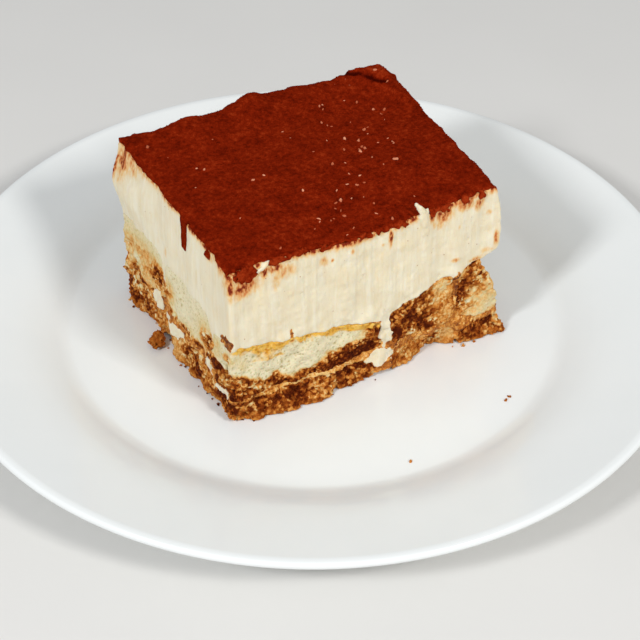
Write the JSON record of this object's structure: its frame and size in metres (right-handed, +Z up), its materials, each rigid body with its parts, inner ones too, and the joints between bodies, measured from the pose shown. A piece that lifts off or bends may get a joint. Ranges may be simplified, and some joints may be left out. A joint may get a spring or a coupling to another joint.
{
  "type": "tiramisu slice",
  "caption": "Cut slice of layered coffee and cream dessert with a cocoa top, resting in the well of a round white dessert plate.",
  "frame": {"origin": "middle of the plate, on the surface that its foot ring stands on", "axes": "+Z up; +X runs along the slice's long cut faces; the front cut face looks towards -Y and the left one towards -X"},
  "size_m": [0.22, 0.22, 0.0649],
  "materials": {
    "porcelain": "glossy white glaze over porcelain",
    "sponge": "open dry sponge crumb, pale inside and golden where it was baked",
    "soaked_sponge": "coffee soaked sponge crumb, moist and dark",
    "cream": "smooth mascarpone cream with a soft satin cut face",
    "cocoa": "dry sieved cocoa powder with a fine grain"
  },
  "bodies": {
    "root": {"plate": "porcelain", "ladyfinger_upper_front": "sponge", "ladyfinger_upper_middle": "sponge", "ladyfinger_upper_back": "sponge", "ladyfinger_upper_cross_inner": "soaked_sponge", "ladyfinger_upper_cross_outer": "sponge", "ladyfinger_lower_front": "soaked_sponge", "ladyfinger_lower_middle": "soaked_sponge", "ladyfinger_lower_back": "soaked_sponge", "ladyfinger_lower_cross_inner": "soaked_sponge", "ladyfinger_lower_cross_outer": "soaked_sponge", "cream_top": "cream", "cream_middle": "cream", "cocoa_skin": "cocoa", "sponge_chunk": "soaked_sponge"}
  },
  "joints": []
}
